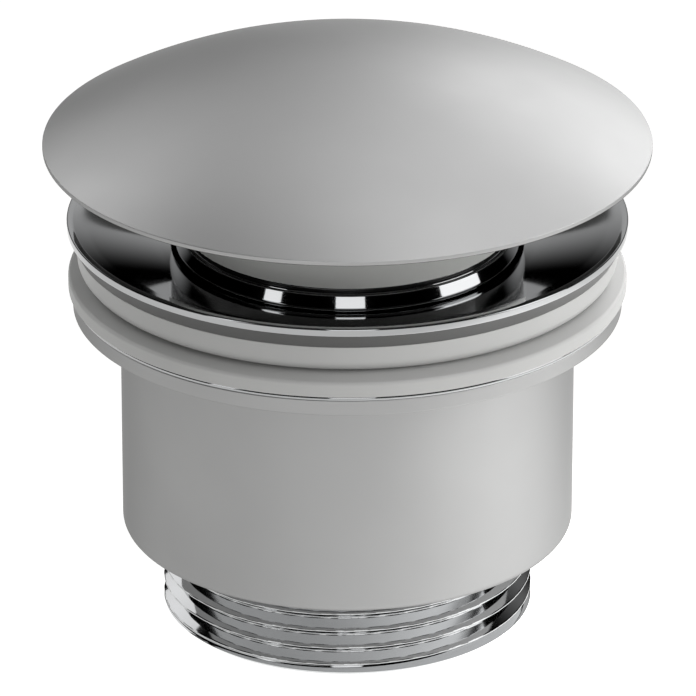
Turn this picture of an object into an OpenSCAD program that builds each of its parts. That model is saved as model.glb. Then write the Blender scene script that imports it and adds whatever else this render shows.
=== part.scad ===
// Pop up basin waste: domed plug, dished flange, clamping body and threaded outlet tail.
// Z is the axis, zero is the outlet end of the tail, all sizes are in millimetres.

/* [Outlet tail] */
// Step from the side of the body to the outlet thread
tail_step = 4.595; // [4:0.005:6]
// Wall of the tail
tail_wall = 3.455; // [2:0.005:4]
// Length of thread below the body
tail_exposed = 10.15; // [8:0.05:30]
// Lead chamfer at the outlet end
tail_chamfer = 0.45; // [0.2:0.05:1.5]
// Depth of the relief above the thread
tail_relief = 0.6; // [0.3:0.05:1]
// Height of the relief below the body
relief_h = 0.4; // [0.2:0.05:1]
// Ledge of the head over the thread
head_ledge = 2.245; // [1.5:0.005:2.5]
// Height of the head inside the body
tail_head_h = 2.5; // [1.5:0.1:4]
// Thickness of the flat seal under the head
tail_seal_t = 1; // [0.6:0.1:2]

/* [Lower body] */
// Outside diameter of the body
body_d = 51.1; // [47:0.1:56]
// Height from the underside to the top of the collar
body_h = 28.3; // [27.5:0.1:40]
// Wall of the chamber
body_wall = 1.6; // [1.2:0.1:1.8]
// Thickness of the floor
body_floor = 2.5; // [2:0.1:4]
// Edge radius at the floor
body_edge = 0.8; // [0.3:0.1:1.5]
// Wall of the threaded neck that takes the shank
neck_wall = 2.9; // [2.4:0.1:4]
// Height of that neck
neck_h = 11; // [8:0.5:13]
// Step from the gasket in to the collar
collar_under = 0.5; // [0.2:0.05:1.5]
// Height of the collar
collar_h = 1.8; // [1.5:0.1:4]
// Edge break of the collar
collar_edge = 0.25; // [0.1:0.05:0.6]

/* [Seals] */
// Thickness of the polished slip ring
slip_t = 0.6; // [0.3:0.1:1]
// Step from the gasket in to the slip ring
slip_under = 0.4; // [0.1:0.05:1.5]
// Reach of the gasket past the top of the seat ring
gasket_over = 0.9; // [0.2:0.05:3]
// Height of the basin gasket
gasket_h = 3.3; // [2.6:0.1:5]
// Upright part of the gasket side
gasket_side = 1.7; // [1:0.1:2.2]
// Edge radius of the gasket
gasket_edge = 0.4; // [0.2:0.05:0.5]
// Width of the bevel on the gasket
gasket_bevel = 3.05; // [2:0.05:4]
// Diameter at the top of the seat ring
seat_d = 60.9; // [58:0.1:67]
// Height of the seat ring
seat_h = 2.3; // [1.8:0.1:3]
// Draft of the seat ring side
seat_draft = 0.6; // [0.2:0.1:1]
// Rounding at the foot of the seat ring
seat_edge = 0.75; // [0.3:0.05:0.9]
// Step from the rim in to the rim seal
rim_seal_under = 0.12; // [0.05:0.01:0.3]
// Height of the rim seal
rim_seal_h = 1.7; // [1.2:0.1:2.2]

/* [Flange] */
// Reach of the flange rim past the top of the seat ring
rim_over = 1; // [0.6:0.05:2]
// Thickness of the rim
rim_t = 0.9; // [0.8:0.05:1.4]
// Edge radius of the rim
rim_edge = 0.3; // [0.1:0.05:0.35]
// Width of the land on top of the rim
rim_land = 0.6; // [0.5:0.05:0.8]
// Slope of the dish
dish_angle = 38; // [36:0.5:39]
// Wall of the dish
dish_wall = 0.8; // [0.7:0.05:0.9]
// Rounding from the dish into the throat
throat_round = 4; // [2:0.1:4.5]
// Wall of the shank above the seat
shank_wall = 1.2; // [0.9:0.1:1.4]
// Thickness of the washer under the shank
shank_seal_t = 1; // [0.6:0.1:1.5]
// Depth of the closing seal below the lead cone when the plug is down
seat_lap = 0.7; // [0.4:0.1:1.2]
// Height of the lead cone above the closing seat
seat_cone_h = 2; // [1.5:0.1:2.5]

/* [Spider] */
// Height of the spider
spider_h = 4; // [3:0.1:4.5]
// Width of the spider ring
spider_ring_w = 3.2; // [2.5:0.1:3.4]
// Number of spider arms
spider_arms = 4; // [3:1:6]
// Width of each arm
arm_w = 3.2; // [2:0.1:5]
// Diameter of the hub
hub_d = 21; // [20:0.5:23]

/* [Latch cartridge] */
// Outside diameter of the cartridge
cartridge_d = 16; // [15.6:0.1:17]
// Bore of the cartridge
cartridge_bore = 12.6; // [12.2:0.1:12.8]
// Length of the cartridge below the hub top
cartridge_drop = 13.2; // [12:0.1:15]
// Thickness of the lip at the cartridge top
cartridge_lip = 2; // [1.5:0.1:2.2]
// Width across flats of the cartridge shoulder
shoulder_af = 18; // [17.5:0.5:19]
// Height of the cartridge shoulder
shoulder_h = 2; // [1.5:0.1:3]
// Height of the end plug inside the cartridge
end_plug_h = 2; // [1.5:0.1:3]
// Height of the end plug head
end_head_h = 1.2; // [0.8:0.1:2]
// Width of the driver slot in the end plug
end_slot_w = 1.6; // [1:0.1:2.5]
// Inside diameter of the cam ribs
cam_d = 10.4; // [10.3:0.05:10.6]
// Height of the closed ring above the cam ribs
cam_ring_h = 1.8; // [1.2:0.1:2]
// Height of the cam ribs under the ring
cam_rib_h = 4.9; // [4.5:0.1:5]
// Width of each cam rib in degrees
cam_rib_turn = 50; // [40:1:52]
// Rise of the slope under each cam rib
cam_slope = 1; // [0.5:0.1:1.4]
// Number of latch ribs
latch_count = 3; // [3:1:3]
// Width of each latch rib in degrees
latch_rib_turn = 20; // [14:1:22]
// Diameter of the latch core
latch_d = 9.8; // [9.4:0.1:9.8]
// Height of the latch core
latch_h = 3; // [2.6:0.1:3]
// Height of the latch and stem teeth
tooth_h = 1.1; // [0.8:0.1:1.2]
// Wire of the return spring
wire_d = 1; // [0.7:0.05:1.2]
// Outside diameter of the return spring
spring_d = 9.6; // [9:0.1:10.4]
// Turns of the return spring
spring_turns = 6; // [4:0.5:7]

/* [Plug] */
// Travel of the plug
travel = 8; // [7:0.1:8.2]
// Diameter of the plug cap
cap_d = 68; // [66:0.5:76]
// Rise of the dome above the cap edge
dome_rise = 9.35; // [8.5:0.05:12]
// Thickness of the cap
cap_t = 1.3; // [1:0.1:1.6]
// Height of the cap edge
cap_edge_h = 0.55; // [0.3:0.05:1.2]
// Rounding of the cap edge
cap_edge_r = 0.15; // [0.1:0.05:0.25]
// Gap left under the cap edge when the plug is down
cap_over = 0.55; // [0.3:0.05:3]
// Height of the ring that holds the boss under the cap
cap_ring_h = 5; // [3:0.1:6]
// Wall of that ring
cap_ring_w = 1.4; // [1:0.1:2]
// Step from the cup in to the boss under the cap
boss_step = 1; // [0.9:0.05:2]
// Wall of the boss
boss_wall = 2; // [1.4:0.1:3]
// Thickness of the boss floor
boss_floor = 2; // [1.5:0.1:3]
// Number of ribs inside the boss
boss_ribs = 6; // [3:1:8]
// Thickness of the ribs inside the boss
boss_rib_t = 1.4; // [1:0.1:2]
// Step from the boss in to the boss gasket
boss_gasket_under = 0.2; // [0.05:0.05:0.4]
// Thickness of the boss gasket
boss_gasket_t = 0.7; // [0.5:0.05:1]
// Gap between the plug cup and the throat of the flange
cup_gap = 2.1; // [1.5:0.1:3]
// Depth of the cup top below the flange rim
cup_sink = 1.7; // [1.2:0.1:2.4]
// Width of the chamfer on the cup
cup_chamfer = 0.7; // [0.4:0.05:0.8]
// Height of the chamfer on the cup
cup_chamfer_h = 1.2; // [0.6:0.05:1.6]
// Wall of the cup
cup_wall = 2; // [1.5:0.1:2.4]
// Thickness of the cup top
cup_top_t = 1.8; // [1.4:0.1:2]
// Height of the cup
cup_h = 10.2; // [9.9:0.1:10.4]
// Step from the cup in to the closing seal
lip_step = 0.3; // [0.3:0.05:0.5]
// Height of the closing seal
lip_h = 2.2; // [1.6:0.1:2.3]
// Thickness of the retainer flange
retainer_t = 1; // [0.7:0.1:1.4]
// Height of the retainer sleeve inside the cup
retainer_rise = 3.5; // [2:0.1:4]
// Wall of the retainer sleeve
retainer_wall = 1.4; // [1:0.1:2]

/* [Stem] */
// Diameter of the stem rod
rod_d = 7; // [6.5:0.1:7.4]
// Diameter of the stem crown inside the cartridge
crown_d = 9.6; // [9.2:0.1:9.6]
// Diameter of the stem pin in the latch
pin_d = 5.3; // [4.6:0.1:5.4]
// Diameter of the stem shoulder under the cup
stem_head_d = 13; // [11:0.5:15]
// Height of the stem shoulder
stem_head_h = 1.4; // [1:0.1:1.5]
// Diameter of the stem thread
stem_thread_d = 8; // [6:0.5:8]
// Width across flats of the stem nut
nut_af = 13; // [12:0.5:15]
// Height of the stem nut
nut_h = 4; // [3:0.1:6]
// Thread left above the stem nut
thread_over = 1.6; // [0.5:0.1:2.5]
// Diameter of the stem washer
stem_washer_d = 15; // [12:0.5:18]

/* [Clearances] */
// Radial clearance of seated pieces
seat_gap = 0.05; // [0.02:0.01:0.08]
// Radial clearance of the sliding stem
slide_gap = 0.05; // [0.03:0.01:0.08]
// Gap between the closing seal and its seat
lip_gap = 0.25; // [0.2:0.01:0.3]
// Radial gap between the shank and the loose rings
gasket_gap = 0.4; // [0.2:0.05:0.6]
// Gap between the latch and the stem teeth, and over the spring
tooth_gap = 0.2; // [0.1:0.05:0.25]
// Gap left over the cartridge when the plug is down
stop_gap = 1; // [0.5:0.1:1.2]
// Step of an arm, rib or tooth from the face that it grows out of
grow_step = 0.3; // [0.2:0.05:0.4]
// Gap between moving pieces
run_gap = 0.3; // [0.25:0.01:0.32]

/* [Hidden] */
$fn = 96;

over = 1;

z_floor = tail_exposed + body_floor;
z_head = z_floor + tail_seal_t;
z_spider = z_head + tail_head_h;
z_hub = z_spider + spider_h;
z_shank = z_hub + shank_seal_t;
z_collar = tail_exposed + body_h;
z_gasket = z_collar + slip_t;
z_seat = z_gasket + gasket_h;
z_rim_seal = z_seat + seat_h;
z_rim = z_rim_seal + rim_seal_h;
z_top = z_rim + rim_t;

body_r = body_d / 2;
chamber_r = body_r - body_wall;
neck_r = body_r - neck_wall;
tail_r = body_r - tail_step;
tail_bore_r = tail_r - tail_wall;
tail_head_r = tail_r + head_ledge;
shank_r = neck_r - seat_gap;
throat_r = shank_r - shank_wall;
seat_r = seat_d / 2;
rim_r = seat_r + rim_over;
land_r = rim_r - rim_land;
rim_seal_r = rim_r - rim_seal_under;
gasket_r = seat_r + gasket_over;
gasket_top_r = gasket_r - gasket_bevel;
dish_tan = tan(dish_angle);
dish_drop = dish_wall / cos(dish_angle);
z_throat = z_top - (land_r - throat_r) * dish_tan;
gasket_in_r = shank_r + gasket_gap;

z_cup = z_top - cup_sink;
cup_r = throat_r - cup_gap;
cup_in_r = cup_r - cup_wall;
lip_r = cup_r - lip_step;
seat_bore_r = lip_r + lip_gap;
boss_r = cup_r - boss_step;
z_cup_under = z_cup - cup_top_t;
z_lip = z_cup - cup_h;
z_retainer = z_lip - lip_h;
z_seat_bore = z_lip - travel - seat_lap;
z_seat_cone = z_seat_bore + seat_cone_h;
z_boss = z_cup + boss_gasket_t;
z_boss_floor = z_boss + boss_floor;
z_cap_edge = z_top + travel + cap_over;
z_cap_rim = z_cap_edge + cap_edge_h;
cap_r = cap_d / 2;
dome_r = (cap_r * cap_r + dome_rise * dome_rise) / (2 * dome_rise);
z_dome = z_cap_rim + dome_rise - dome_r;

z_cartridge = z_hub - cartridge_drop;
z_cartridge_top = z_cup_under - stem_head_h - travel - stop_gap;
z_lip_under = z_cartridge_top - cartridge_lip;
bore_r = cartridge_bore / 2;
z_spring = z_cartridge + end_plug_h;
z_cam_ring = z_lip_under - cam_ring_h;
z_cam = z_cam_ring - cam_rib_h;
z_latch = z_cam;
z_teeth = z_latch + latch_h;
z_crown_teeth = z_teeth + tooth_h + tooth_gap;
z_crown = z_crown_teeth + tooth_h;
crown_r = crown_d / 2;
rod_r = rod_d / 2;
pin_r = pin_d / 2;
z_thread_end = z_boss_floor + nut_h + thread_over;
cam_step = 360 / latch_count;
tooth_count = 2 * latch_count;
spring_mean_r = (spring_d - wire_d) / 2;
spring_h = z_latch - z_spring - tooth_gap;
spring_sides = 10;
spring_steps = 24;

// Radius of the outer face of the dish at a height
function dish_out(z) = land_r - (z_top - dish_drop - z) / dish_tan;
// Corner radius of a hexagon from its width across flats
function corner(af) = af / sqrt(3);

module tube(r_in, r_out, z, h) {
  translate([0, 0, z])
    difference() {
      cylinder(r = r_out, h = h);
      translate([0, 0, -over])
        cylinder(r = r_in, h = h + 2 * over);
    }
}

// A sector of a tube, centred on an angle
module sector(r_in, r_out, z, h, mid, turn) {
  rotate([0, 0, mid - turn / 2])
    translate([0, 0, z])
      rotate_extrude(angle = turn)
        translate([r_in, 0])
          square([r_out - r_in, h]);
}

// A ring of saw teeth that point up
module saw_ring(r_in, r_out, h, count) {
  pitch = 2 * r_out * tan(180 / count);
  intersection() {
    tube(r_in, r_out, -grow_step, h + grow_step);
    for (i = [0 : count - 1])
      rotate([90, 0, 90 + i * 360 / count])
        linear_extrude(r_out + over)
          polygon([[-pitch / 2, -grow_step], [pitch / 2 - run_gap, -grow_step], [pitch / 2 - run_gap, h],
                   [-pitch / 2, 0]]);
  }
}

// A square with its outer corners rounded, drawn in the profile plane
module rounded_edge(r, z, h, edge) {
  square_in = r - edge;
  translate([0, z])
    square([square_in, h]);
  translate([0, z + edge])
    square([r, h - 2 * edge]);
  translate([square_in, z + edge])
    circle(r = edge);
  translate([square_in, z + h - edge])
    circle(r = edge);
}

module plug_cap() {
  color([0.72, 0.71, 0.69])
    rotate_extrude()
      difference() {
        intersection() {
          translate([0, z_dome])
            circle(r = dome_r);
          union() {
            translate([0, z_cap_edge])
              square([cap_r - cap_edge_r, dome_rise + cap_edge_h + over]);
            translate([0, z_cap_edge + cap_edge_r])
              square([cap_r, dome_rise + cap_edge_h]);
            translate([cap_r - cap_edge_r, z_cap_edge + cap_edge_r])
              circle(r = cap_edge_r);
          }
        }
        difference() {
          translate([0, z_dome])
            circle(r = dome_r - cap_t);
          translate([boss_r + seat_gap, z_cap_rim - cap_ring_h + dome_rise - cap_t])
            square([cap_ring_w, cap_ring_h]);
        }
        translate([-dome_r, 0])
          square([dome_r, 2 * dome_r]);
      }
}

module plug_boss() {
  rib_start = corner(nut_af) + over;
  color([0.52, 0.53, 0.51])
    difference() {
      union() {
        tube(boss_r - boss_wall, boss_r, z_boss, z_cap_rim + dome_rise - z_boss);
        tube(stem_thread_d / 2 + seat_gap, boss_r - boss_wall + seat_gap, z_boss, boss_floor);
        for (i = [0 : boss_ribs - 1])
          rotate([0, 0, i * 360 / boss_ribs])
            translate([rib_start, -boss_rib_t / 2, z_boss])
              cube([boss_r - boss_wall / 2 - rib_start, boss_rib_t, boss_floor + nut_h]);
      }
      difference() {
        translate([0, 0, z_cap_edge])
          cylinder(r = boss_r + over, h = 2 * dome_rise);
        translate([0, 0, z_dome])
          sphere(r = dome_r - cap_t - seat_gap);
      }
    }
}

module boss_gasket() {
  color([0.05, 0.05, 0.05])
    rotate_extrude()
      difference() {
        rounded_edge(boss_r - boss_gasket_under, z_cup, boss_gasket_t, boss_gasket_t / 2 - seat_gap);
        translate([0, z_cup - over])
          square([boss_r - boss_wall - over, boss_gasket_t + 2 * over]);
      }
}

module plug_cup() {
  color([0.8, 0.81, 0.82])
    rotate_extrude()
      polygon([[stem_thread_d / 2 + seat_gap, z_cup_under],
               [cup_in_r, z_cup_under],
               [cup_in_r, z_lip],
               [cup_r, z_lip],
               [cup_r, z_cup - cup_chamfer_h],
               [cup_r - cup_chamfer, z_cup],
               [stem_thread_d / 2 + seat_gap, z_cup]]);
}

module lip_seal() {
  color([0.06, 0.06, 0.06])
    rotate_extrude()
      polygon([[cup_in_r, z_retainer],
               [lip_r - lip_h / 4, z_retainer],
               [lip_r, z_retainer + lip_h / 3],
               [lip_r, z_retainer + lip_h / 2],
               [lip_r - lip_h / 5, z_lip],
               [cup_in_r, z_lip]]);
}

module seal_retainer() {
  sleeve_r = cup_in_r - seat_gap;
  color([0.2, 0.2, 0.21])
    union() {
      tube(sleeve_r - retainer_wall, sleeve_r, z_retainer - retainer_t, retainer_t + lip_h + retainer_rise);
      tube(sleeve_r - retainer_wall, lip_r - lip_h / 4, z_retainer - retainer_t, retainer_t);
    }
}

module push_stem() {
  color([0.75, 0.62, 0.35])
    union() {
      translate([0, 0, z_latch + run_gap])
        cylinder(r = pin_r, h = z_crown - z_latch - run_gap);
      translate([0, 0, z_crown])
        cylinder(r = crown_r, h = z_lip_under - z_crown);
      translate([0, 0, z_crown])
        mirror([0, 0, 1])
          saw_ring(pin_r + grow_step, crown_r - grow_step, tooth_h, tooth_count);
      translate([0, 0, z_lip_under - seat_gap])
        cylinder(r = rod_r, h = z_cup_under - z_lip_under + seat_gap);
      translate([0, 0, z_cup_under - stem_head_h])
        cylinder(r = stem_head_d / 2, h = stem_head_h);
      translate([0, 0, z_cup_under - seat_gap])
        cylinder(r = stem_thread_d / 2, h = z_thread_end - z_cup_under + seat_gap);
    }
}

module stem_nut() {
  color([0.75, 0.62, 0.35])
    difference() {
      translate([0, 0, z_boss_floor])
        cylinder(r = corner(nut_af), h = nut_h, $fn = 6);
      translate([0, 0, z_boss_floor - over])
        cylinder(r = stem_thread_d / 2 + seat_gap, h = nut_h + 2 * over);
    }
}

module stem_washer() {
  color([0.06, 0.06, 0.06])
    tube(stem_thread_d / 2 + seat_gap, stem_washer_d / 2, z_cup, boss_gasket_t);
}

module latch_rotor() {
  hole_r = pin_r + run_gap;
  color([0.85, 0.84, 0.8])
    union() {
      tube(hole_r, latch_d / 2, z_latch, latch_h);
      translate([0, 0, z_teeth])
        saw_ring(hole_r + grow_step, latch_d / 2 - grow_step, tooth_h, tooth_count);
      for (i = [0 : latch_count - 1])
        sector(latch_d / 2 - grow_step, bore_r - run_gap, z_latch + grow_step, latch_h - 2 * grow_step,
               i * cam_step, latch_rib_turn);
    }
}

// Round wire swept along a helix with flat set ends
module return_spring() {
  count = spring_turns * spring_steps;
  rise = spring_h - wire_d;
  points = [for (i = [0 : count]) for (j = [0 : spring_sides - 1])
    let (turn = 360 * i / spring_steps, side = 360 * j / spring_sides)
    let (r = spring_mean_r + wire_d / 2 * cos(side))
    [r * cos(turn), r * sin(turn), z_spring + wire_d / 2 + rise * i / count + wire_d / 2 * sin(side)]];
  skin = [for (i = [0 : count - 1]) for (j = [0 : spring_sides - 1])
    let (a = i * spring_sides + j, b = i * spring_sides + (j + 1) % spring_sides)
    [a, b, b + spring_sides, a + spring_sides]];
  ends = [[for (j = [spring_sides - 1 : -1 : 0]) j],
          [for (j = [0 : spring_sides - 1]) count * spring_sides + j]];
  color([0.6, 0.6, 0.62])
    polyhedron(points = points, faces = concat(skin, ends));
}

module cam_sleeve() {
  cam_r = cam_d / 2;
  sleeve_r = bore_r - seat_gap;
  color([0.86, 0.85, 0.82])
    difference() {
      tube(cam_r, sleeve_r, z_cam, cam_rib_h + cam_ring_h);
      for (i = [0 : latch_count - 1])
        sector(cam_r - over, sleeve_r + over, z_cam - over, cam_rib_h + over,
               i * cam_step, cam_step - cam_rib_turn);
      for (i = [0 : latch_count - 1])
        rotate([90, 0, 90 + (i + 0.5) * cam_step])
          linear_extrude(bore_r + over)
            polygon([[-bore_r, z_cam - over], [bore_r, z_cam - over], [bore_r, z_cam + 2 * cam_slope]]);
    }
}

module cartridge_housing() {
  color([0.9, 0.89, 0.86])
    difference() {
      union() {
        translate([0, 0, z_cartridge])
          cylinder(r = cartridge_d / 2, h = z_cartridge_top - z_cartridge);
        translate([0, 0, z_hub])
          cylinder(r = corner(shoulder_af), h = shoulder_h, $fn = 6);
      }
      translate([0, 0, z_cartridge - over])
        cylinder(r = bore_r, h = z_lip_under - z_cartridge + over);
      translate([0, 0, z_lip_under - over])
        cylinder(r = rod_r + slide_gap, h = cartridge_lip + 2 * over);
    }
}

module end_plug() {
  color([0.35, 0.36, 0.37])
    difference() {
      union() {
        translate([0, 0, z_cartridge - end_head_h])
          cylinder(r = cartridge_d / 2, h = end_head_h);
        translate([0, 0, z_cartridge - seat_gap])
          cylinder(r = bore_r - seat_gap, h = end_plug_h + seat_gap);
      }
      translate([-cartridge_d, -end_slot_w / 2, z_cartridge - end_head_h - over])
        cube([2 * cartridge_d, end_slot_w, end_head_h / 2 + over]);
    }
}

module spider() {
  ring_r = chamber_r - 2 * seat_gap;
  hub_r = hub_d / 2;
  color([0.78, 0.68, 0.45])
    union() {
      tube(ring_r - spider_ring_w, ring_r, z_spider, spider_h);
      tube(cartridge_d / 2 + seat_gap, hub_r, z_spider, spider_h);
      for (i = [0 : spider_arms - 1])
        rotate([0, 0, (i + 0.5) * 360 / spider_arms])
          translate([hub_r - over, -arm_w / 2, z_spider + grow_step])
            cube([ring_r - spider_ring_w / 2 - hub_r + over, arm_w, spider_h - 2 * grow_step]);
    }
}

module shank_washer() {
  color([0.08, 0.08, 0.08])
    tube(chamber_r - spider_ring_w, shank_r, z_hub, shank_seal_t);
}

// What the rounding takes off the corner between dish and throat, drawn in the profile plane
module throat_corner() {
  run = throat_round * tan(45 - dish_angle / 2);
  z_mid = z_throat - run;
  r_mid = throat_r + throat_round;
  reach = throat_round + over;
  difference() {
    polygon([[throat_r - over, z_mid],
             [throat_r - over, z_throat + over],
             [r_mid - reach * sin(dish_angle), z_mid + reach * cos(dish_angle)],
             [r_mid, z_mid]]);
    translate([r_mid, z_mid])
      circle(r = throat_round);
  }
}

module waste_flange() {
  color([0.8, 0.81, 0.82])
    rotate_extrude()
      difference() {
        union() {
          polygon([[seat_bore_r, z_shank],
                   [shank_r, z_shank],
                   [shank_r, z_top - dish_drop - (land_r - shank_r) * dish_tan],
                   [dish_out(z_rim), z_rim],
                   [rim_r - rim_edge, z_rim],
                   [rim_r - rim_edge, z_top],
                   [land_r, z_top],
                   [throat_r, z_throat],
                   [throat_r, z_seat_cone],
                   [seat_bore_r, z_seat_bore]]);
          difference() {
            rounded_edge(rim_r, z_rim, rim_t, rim_edge);
            translate([0, z_rim - over])
              square([land_r, rim_t + 2 * over]);
          }
        }
        throat_corner();
      }
}

// The space inside the outer face of the dish, drawn in the profile plane
module dish_space() {
  z_low = z_collar - collar_h - over;
  z_high = z_rim + over;
  polygon([[0, z_low],
           [dish_out(z_low) + seat_gap, z_low],
           [dish_out(z_high) + seat_gap, z_high],
           [0, z_high]]);
}

module rim_seal() {
  color([0.3, 0.3, 0.3])
    rotate_extrude()
      difference() {
        polygon([[gasket_in_r, z_rim_seal],
                 [seat_r, z_rim_seal],
                 [rim_seal_r, z_rim],
                 [gasket_in_r, z_rim]]);
        dish_space();
      }
}

module seat_ring() {
  foot_r = seat_r - seat_draft - seat_edge;
  color([0.68, 0.68, 0.67])
    rotate_extrude()
      difference() {
        union() {
          polygon([[gasket_in_r, z_seat],
                   [foot_r, z_seat],
                   [foot_r + seat_edge, z_seat + seat_edge],
                   [seat_r, z_rim_seal],
                   [gasket_in_r, z_rim_seal]]);
          translate([foot_r, z_seat + seat_edge])
            circle(r = seat_edge);
        }
        dish_space();
      }
}

module basin_gasket() {
  color([0.66, 0.66, 0.65])
    rotate_extrude()
      difference() {
        union() {
          polygon([[gasket_in_r, z_gasket],
                   [gasket_r - gasket_edge, z_gasket],
                   [gasket_r - gasket_edge, z_gasket + gasket_side],
                   [gasket_top_r, z_seat],
                   [gasket_in_r, z_seat]]);
          rounded_edge(gasket_r, z_gasket, gasket_side, gasket_edge);
        }
        dish_space();
        translate([0, z_gasket - over])
          square([gasket_in_r, gasket_h + 2 * over]);
      }
}

module slip_ring() {
  color([0.8, 0.81, 0.82])
    rotate_extrude()
      difference() {
        rounded_edge(gasket_r - slip_under, z_collar, slip_t, slip_t / 2 - seat_gap);
        dish_space();
        translate([0, z_collar - over])
          square([gasket_in_r, slip_t + 2 * over]);
      }
}

module lower_body() {
  color([0.72, 0.71, 0.69])
    rotate_extrude()
      difference() {
        union() {
          translate([0, tail_exposed])
            square([body_r - body_edge, body_h]);
          translate([0, tail_exposed + body_edge])
            square([body_r, body_h - body_edge]);
          translate([body_r - body_edge, tail_exposed + body_edge])
            circle(r = body_edge);
          rounded_edge(gasket_r - collar_under, z_collar - collar_h, collar_h, collar_edge);
        }
        translate([0, tail_exposed - over])
          square([tail_r + seat_gap, body_floor + 2 * over]);
        translate([0, z_floor])
          square([chamber_r, body_h - body_floor - neck_h]);
        translate([0, z_floor])
          square([neck_r, body_h]);
        dish_space();
      }
}

module tail_seal() {
  color([0.08, 0.08, 0.08])
    tube(tail_r + seat_gap, tail_head_r, z_floor, tail_seal_t);
}

module threaded_tail() {
  z_relief = tail_exposed - relief_h;
  color([0.8, 0.81, 0.82])
    rotate_extrude()
      polygon([[tail_bore_r, 0],
               [tail_r - tail_chamfer, 0],
               [tail_r, tail_chamfer],
               [tail_r, z_relief],
               [tail_r - tail_relief, z_relief],
               [tail_r - tail_relief, z_head],
               [tail_head_r, z_head],
               [tail_head_r, z_spider],
               [tail_bore_r, z_spider]]);
}

plug_cap();
plug_boss();
boss_gasket();
plug_cup();
lip_seal();
seal_retainer();
push_stem();
stem_nut();
stem_washer();
latch_rotor();
return_spring();
cam_sleeve();
cartridge_housing();
end_plug();
spider();
shank_washer();
waste_flange();
rim_seal();
seat_ring();
basin_gasket();
slip_ring();
lower_body();
tail_seal();
threaded_tail();
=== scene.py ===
"""Looks of a pop up basin waste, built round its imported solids.

Sizes are millimetres in the classes and become metres in the meshes. Z is the axis of the waste, and
zero is the outlet end of the tail.
"""

from __future__ import annotations

import logging
import math
from dataclasses import dataclass
from enum import Enum
from typing import Any, Callable, Sequence

import bmesh
import bpy
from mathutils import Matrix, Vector

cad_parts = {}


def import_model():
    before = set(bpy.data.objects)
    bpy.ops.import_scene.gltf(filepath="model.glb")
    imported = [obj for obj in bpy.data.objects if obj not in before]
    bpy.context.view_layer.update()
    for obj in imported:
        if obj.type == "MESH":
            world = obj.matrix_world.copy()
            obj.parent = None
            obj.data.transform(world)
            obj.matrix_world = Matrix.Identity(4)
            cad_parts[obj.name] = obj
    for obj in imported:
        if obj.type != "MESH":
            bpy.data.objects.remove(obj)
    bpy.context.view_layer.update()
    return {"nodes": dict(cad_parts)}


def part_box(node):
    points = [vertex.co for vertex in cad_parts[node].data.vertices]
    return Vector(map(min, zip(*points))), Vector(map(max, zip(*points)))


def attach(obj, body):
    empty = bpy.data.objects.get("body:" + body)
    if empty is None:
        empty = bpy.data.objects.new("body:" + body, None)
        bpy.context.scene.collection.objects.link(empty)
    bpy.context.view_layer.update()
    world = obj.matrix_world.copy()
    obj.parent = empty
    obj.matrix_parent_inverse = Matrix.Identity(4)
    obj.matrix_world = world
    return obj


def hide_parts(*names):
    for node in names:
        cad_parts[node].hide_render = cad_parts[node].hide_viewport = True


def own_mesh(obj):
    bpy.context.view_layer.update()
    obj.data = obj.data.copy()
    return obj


log = logging.getLogger("basin_waste")

MM = 0.001
# Faces round a turned piece, and the sharpest angle in degrees that is shaded smooth.
TURN_STEPS = 192
SHADE_DEG = 28.0
# Metres within which points are one point, and millimetres within which a point lies on a face.
WELD = 2e-6
NEAR_MM = 0.01
# Detail of the slow clouds in a finish, and the span that nearly all of their values lie in.
CLOUD_DETAIL = 3.0
CLOUD_SPAN = (0.3, 0.7)
# Detail and roughness of the fine grain.
GRAIN_DETAIL = 2.0
GRAIN_ROUGH = 0.6
# Part of the grain's scale that lathe rings take, which makes a ring about two grains wide.
RING_PART = 1.0 / 6.0
# Waver of the rings and its detail.
RING_WAVER = 1.5
RING_DETAIL = 1.0


class Body(Enum):
    """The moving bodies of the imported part."""

    WASTE = "waste"
    PLUG = "plug"
    LATCH = "latch"


class Slot(Enum):
    """The record's material slots."""

    SATIN_NICKEL = "satin_nickel"
    POLISHED_CHROME = "polished_chrome"
    GREY_MOULDING = "grey_moulding"
    BLACK_RUBBER = "black_rubber"
    DARK_RUBBER = "dark_rubber"
    LIGHT_RUBBER = "light_rubber"
    GREY_RUBBER = "grey_rubber"
    TURNED_BRASS = "turned_brass"
    CAST_BRASS = "cast_brass"
    WHITE_ACETAL = "white_acetal"
    DARK_ACETAL = "dark_acetal"
    SPRING_STEEL = "spring_steel"


class Falls(Enum):
    """What a studio light falls on."""

    MIRRORS = "mirrors"
    MATT = "matt"
    THREAD = "thread"


class Inside(Enum):
    """Finishes of faces that no slot of the record names: painted shade under the cap and a paler painted
    sheen on the thread.
    """

    RAW_CASTING = "underside_painted_shade"
    CUT_THREAD = "cut_thread"


def linear(code: str) -> tuple[float, float, float, float]:
    """Turns an sRGB hex value to linear colour.

    Args:
        code: Six hex digits with a leading hash.

    Returns:
        Red, green, blue and an alpha of one.
    """
    values = [int(code[i : i + 2], 16) / 255 for i in (1, 3, 5)]
    red, green, blue = (v / 12.92 if v <= 0.04045 else ((v + 0.055) / 1.055) ** 2.4 for v in values)
    return red, green, blue, 1.0


def per_metre(size_mm: float) -> float:
    """Gives a texture's scale for a pattern of one size in millimetres."""
    return 1.0 / (size_mm * MM)


def toward(azimuth: float, elevation: float) -> Vector:
    """Gives the direction from the object to a place round it.

    Args:
        azimuth: Degrees to the right of the camera's side.
        elevation: Degrees above the floor.

    Returns:
        A direction of length one.
    """
    a, e = math.radians(azimuth), math.radians(elevation)
    return Vector((math.sin(a) * math.cos(e), -math.cos(a) * math.cos(e), math.sin(e)))


def empty_tree(owner: bpy.types.Material | bpy.types.World) -> bpy.types.NodeTree:
    """Switches a material or a world to nodes and clears them.

    Args:
        owner: New material or world.

    Returns:
        Its empty node tree.
    """
    owner.use_nodes = True
    owner.node_tree.nodes.clear()
    return owner.node_tree


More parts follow.
